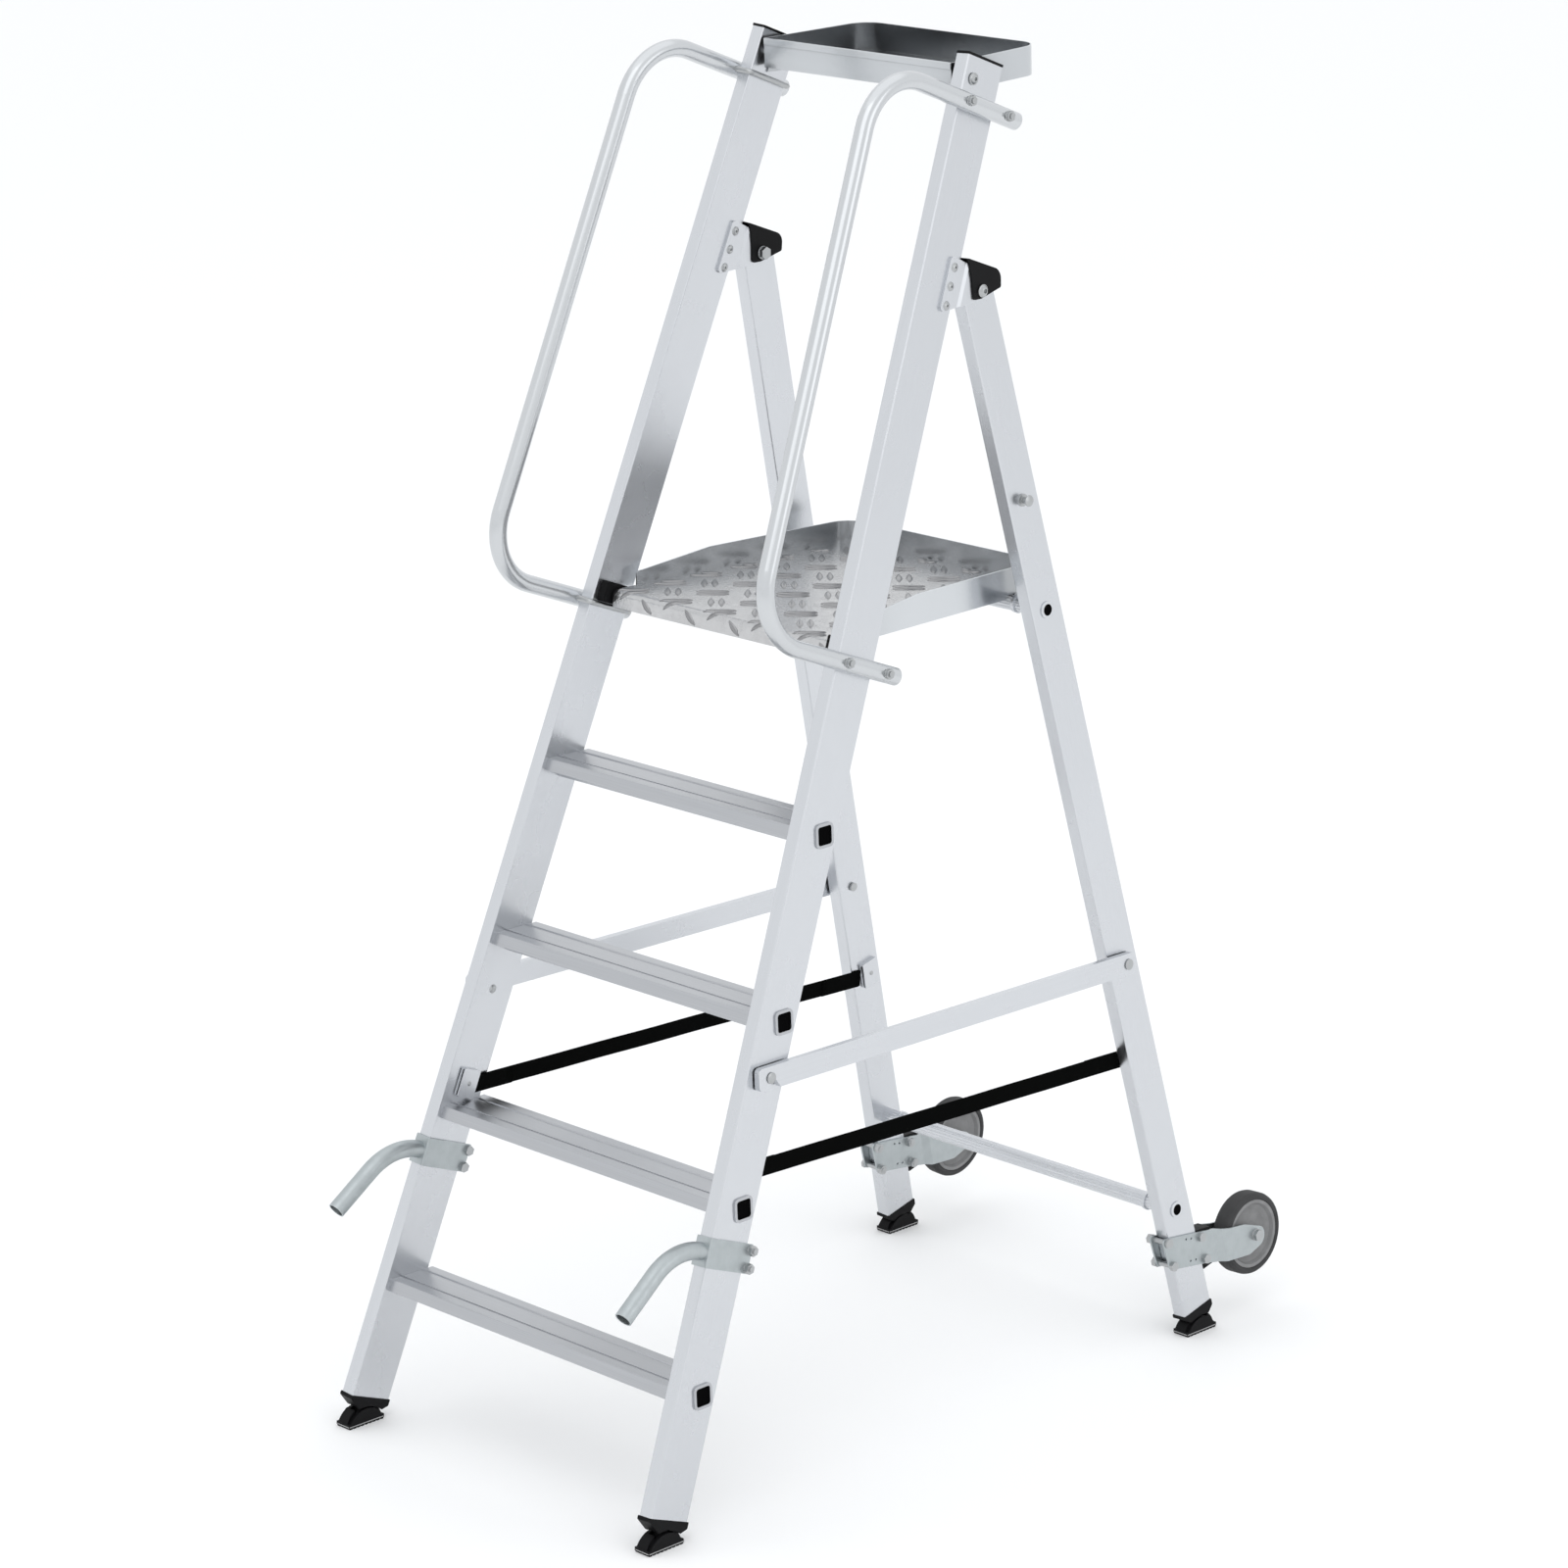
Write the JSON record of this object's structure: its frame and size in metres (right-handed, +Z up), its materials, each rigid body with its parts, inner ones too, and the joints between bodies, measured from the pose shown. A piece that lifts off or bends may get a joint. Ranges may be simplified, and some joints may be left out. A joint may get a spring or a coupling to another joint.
{
  "type": "library ladder",
  "caption": "Folding aluminium platform step ladder with rear wheels, side handrails, lift handles, toe-boarded deck and a hinged tool tray on top.",
  "frame": {"origin": "on the floor at the centre of the footprint of the whole ladder", "axes": "+Z up, +Y from the climbing side towards the rear frame, +X to the climber's right"},
  "size_m": [0.66, 1.3425, 1.9334],
  "materials": {
    "aluminium": "satin",
    "tread_aluminium": "satin",
    "zinc_steel": "satin",
    "steel_fasteners": "satin",
    "black_plastic": "matte",
    "black_rubber": "matte",
    "grey_tyre": "matte",
    "grey_hub_plastic": "matte",
    "black_webbing": "matte"
  },
  "bodies": {
    "rear_frame": {"axle_bolts": "steel_fasteners", "cross_tube_lower": "aluminium", "cross_tube_plugs": "black_plastic", "cross_tube_upper": "aluminium", "foot_housings_rear": "black_plastic", "rear_leg_left": "aluminium", "rear_leg_right": "aluminium", "strap_clips_rear": "zinc_steel", "strut_pivot_rivets": "steel_fasteners", "strut_storage_pins": "steel_fasteners", "wheel_bracket_bolts": "steel_fasteners", "wheel_bracket_left": "zinc_steel", "wheel_bracket_right": "zinc_steel", "wheel_bracket_spacers": "black_plastic"},
    "front_ladder": {"foot_housings_front": "black_plastic", "front_stile_left": "aluminium", "front_stile_right": "aluminium", "handrail_left": "aluminium", "handrail_nuts": "steel_fasteners", "handrail_right": "aluminium", "handrail_u_bolts": "steel_fasteners", "hinge_bolts": "steel_fasteners", "hinge_covers": "black_plastic", "hinge_plates": "zinc_steel", "hinge_rivets": "steel_fasteners", "lift_handle_bolts": "steel_fasteners", "lift_handle_left": "zinc_steel", "lift_handle_right": "zinc_steel", "platform_bushings": "black_plastic", "platform_pivot_bolts": "steel_fasteners", "step_1": "tread_aluminium", "step_2": "tread_aluminium", "step_3": "tread_aluminium", "step_4": "tread_aluminium", "step_plugs": "black_plastic", "stile_caps": "black_plastic", "strap_clips_front": "zinc_steel", "strap_left": "black_webbing", "strap_right": "black_webbing", "strut_hook_pins": "steel_fasteners", "tray_pivot_bolts": "steel_fasteners", "tray_stop_tabs": "aluminium"},
    "platform": {"platform_clips": "black_plastic", "platform_plate": "aluminium", "platform_toe_board": "aluminium"},
    "shoe_front_left": {"shoe_front_left": "black_plastic", "sole_front_left": "black_rubber"},
    "shoe_front_right": {"shoe_front_right": "black_plastic", "sole_front_right": "black_rubber"},
    "shoe_rear_left": {"shoe_rear_left": "black_plastic", "sole_rear_left": "black_rubber"},
    "shoe_rear_right": {"shoe_rear_right": "black_plastic", "sole_rear_right": "black_rubber"},
    "strut_left": {"strut_left": "aluminium"},
    "strut_right": {"strut_right": "aluminium"},
    "tray": {"tray": "aluminium"},
    "wheel_left": {"wheel_rim_left": "grey_hub_plastic", "wheel_tyre_left": "grey_tyre"},
    "wheel_right": {"wheel_rim_right": "grey_hub_plastic", "wheel_tyre_right": "grey_tyre"}
  },
  "joints": [
    {"name": "rear_frame_hinge", "type": "hinge", "parent": "front_ladder", "child": "rear_frame", "pos_m": [0, 0.08077, 1.60923], "axis": [1, 0, 0], "range_deg": [-32, 0], "deforming": ["strap_left", "strap_right"]},
    {"name": "platform_hinge", "type": "hinge", "parent": "front_ladder", "child": "platform", "pos_m": [0, -0.18462, 1.15345], "axis": [1, 0, 0], "range_deg": [0, 69]},
    {"name": "strut_right_hinge", "type": "hinge", "parent": "rear_frame", "child": "strut_right", "pos_m": [0.28251, 0.33805, 0.60216], "axis": [0.9984, 0.0021, 0.0566], "range_deg": [-38.5, 0]},
    {"name": "strut_left_hinge", "type": "hinge", "parent": "rear_frame", "child": "strut_left", "pos_m": [-0.28251, 0.33805, 0.60216], "axis": [0.9984, -0.0021, -0.0566], "range_deg": [-38.5, 0]},
    {"name": "tray_hinge", "type": "hinge", "parent": "front_ladder", "child": "tray", "pos_m": [0, 0.08265, 1.89543], "axis": [1, 0, 0], "range_deg": [0, 75]},
    {"name": "wheel_right_spin", "type": "hinge", "parent": "rear_frame", "child": "wheel_right", "pos_m": [0.30153, 0.60869, 0.1223], "axis": [0.9984, -0.0142, 0.0552], "continuous": true},
    {"name": "wheel_left_spin", "type": "hinge", "parent": "rear_frame", "child": "wheel_left", "pos_m": [-0.30153, 0.60869, 0.1223], "axis": [0.9984, 0.0142, -0.0552], "continuous": true},
    {"name": "shoe_front_right_tilt", "type": "hinge", "parent": "front_ladder", "child": "shoe_front_right", "pos_m": [0.30725, -0.61551, 0.014], "axis": [1, 0, 0], "range_deg": [-10, 10]},
    {"name": "shoe_front_left_tilt", "type": "hinge", "parent": "front_ladder", "child": "shoe_front_left", "pos_m": [-0.30725, -0.61551, 0.014], "axis": [1, 0, 0], "range_deg": [-10, 10]},
    {"name": "shoe_rear_right_tilt", "type": "hinge", "parent": "rear_frame", "child": "shoe_rear_right", "pos_m": [0.30584, 0.49035, 0.014], "axis": [1, 0, 0], "range_deg": [-10, 10]},
    {"name": "shoe_rear_left_tilt", "type": "hinge", "parent": "rear_frame", "child": "shoe_rear_left", "pos_m": [-0.30584, 0.49035, 0.014], "axis": [1, 0, 0], "range_deg": [-10, 10]}
  ],
  "couplings": [
    {"joint": "platform_hinge", "follows": "rear_frame_hinge", "ratio": -2.15},
    {"joint": "strut_right_hinge", "follows": "rear_frame_hinge", "ratio": 1.2},
    {"joint": "strut_left_hinge", "follows": "rear_frame_hinge", "ratio": 1.2}
  ]
}
